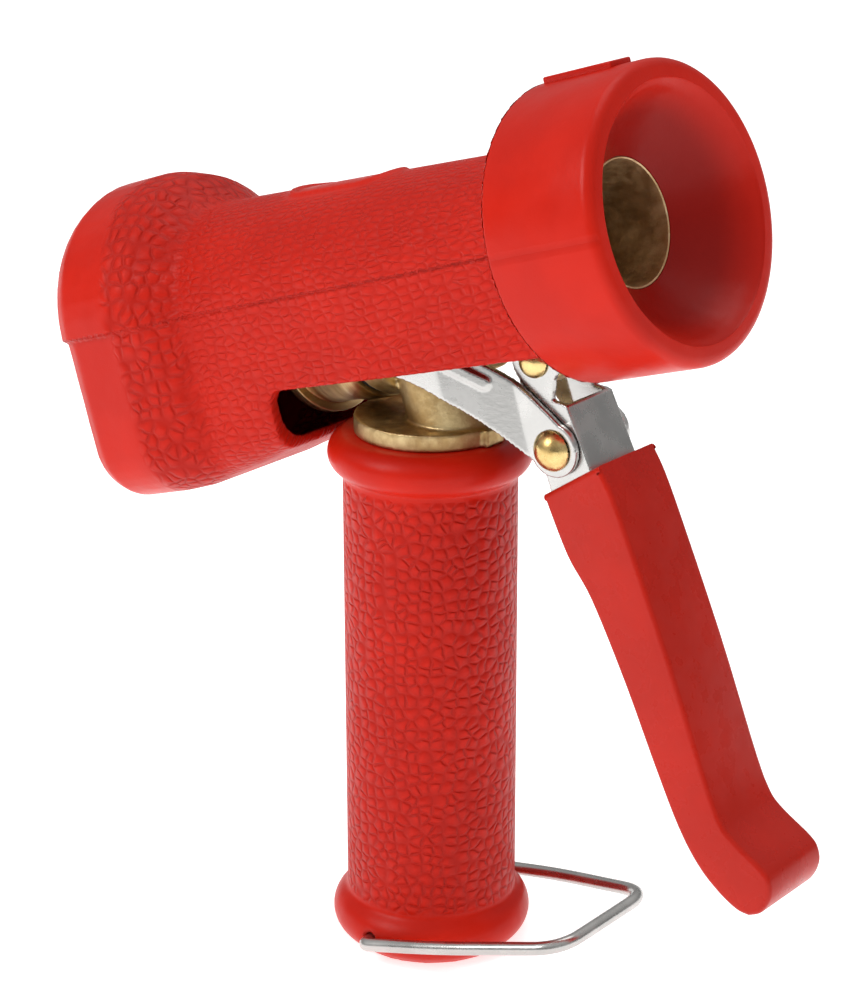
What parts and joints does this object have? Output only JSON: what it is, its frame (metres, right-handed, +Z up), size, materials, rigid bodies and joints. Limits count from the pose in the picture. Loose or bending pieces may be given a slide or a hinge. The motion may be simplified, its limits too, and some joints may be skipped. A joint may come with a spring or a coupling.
{
  "type": "fire hose nozzle",
  "caption": "Pistol-grip hose nozzle: rubber-covered brass valve with a flared bell, sleeved upright handle, squeeze lever with steel yoke, and a wire bail that latches the lever.",
  "frame": {"origin": "centre of the threaded inlet's mouth, at the foot of the handle", "axes": "+Z up the handle, +X forwards towards the nozzle's mouth and the lever, +Y to the left seen from behind; the object is symmetric about Y = 0"},
  "size_m": [0.1867, 0.061, 0.2046],
  "materials": {
    "red_rubber": "moulded red rubber, pebbled where it is gripped and smooth on the bell and collars",
    "lever_plastic": "red dipped coating, slightly glossy",
    "cast_brass": "cast brass, slightly dull",
    "turned_brass": "turned brass with fine lathe marks",
    "rivet_brass": "polished rivet heads",
    "steel": "pressed stainless steel",
    "wire_steel": "drawn stainless wire",
    "spring_steel": "drawn spring wire",
    "seal_rubber": "black seal rubber",
    "seat_plastic": "white seat plastic"
  },
  "bodies": {
    "valve_body": {"body_casting": "cast_brass", "nozzle_tube": "turned_brass", "valve_seat": "seat_plastic", "bonnet": "turned_brass", "bonnet_gasket": "seal_rubber", "gland_seals": "seal_rubber", "body_cover": "red_rubber", "handle_tube": "turned_brass", "handle_seal": "seal_rubber", "handle_grip": "red_rubber", "inlet_washer": "seal_rubber", "lever_pivot_pin": "rivet_brass", "return_spring": "spring_steel"},
    "stem": {"valve_stem": "steel", "valve_plug": "turned_brass", "plug_seal": "seal_rubber", "plug_nut": "steel", "thrust_washer": "steel", "lock_nuts": "steel"},
    "yoke": {"yoke": "steel"},
    "lever": {"lever_channel": "steel", "lever_grip": "lever_plastic", "link_pin": "rivet_brass"},
    "bail": {"bail": "wire_steel"}
  },
  "joints": [
    {"name": "lever_pivot", "type": "hinge", "parent": "valve_body", "child": "lever", "pos_m": [0.03331, 0, 0.14212], "axis": [0, 1, 0], "range_deg": [0, 30], "stiffness_Nm_per_rad": 1.2, "springref_deg": -34.38},
    {"name": "yoke_link", "type": "hinge", "parent": "lever", "child": "yoke", "pos_m": [0.03945, 0, 0.12487], "axis": [0, 1, 0], "range_deg": [-31.63, 0]},
    {"name": "stem_slide", "type": "slide", "parent": "valve_body", "child": "stem", "axis": [-0.9542, 0, -0.299], "range_m": [0, 0.01008], "deforming": ["return_spring"]},
    {"name": "bail_pivot", "type": "hinge", "parent": "valve_body", "child": "bail", "pos_m": [0, 0, 0.0049], "axis": [0, -1, 0], "range_deg": [-14, 24]}
  ],
  "couplings": [
    {"joint": "yoke_link", "follows": "lever_pivot", "ratio": -1.051},
    {"joint": "stem_slide", "follows": "lever_pivot", "m_per_rad": 0.019162}
  ]
}
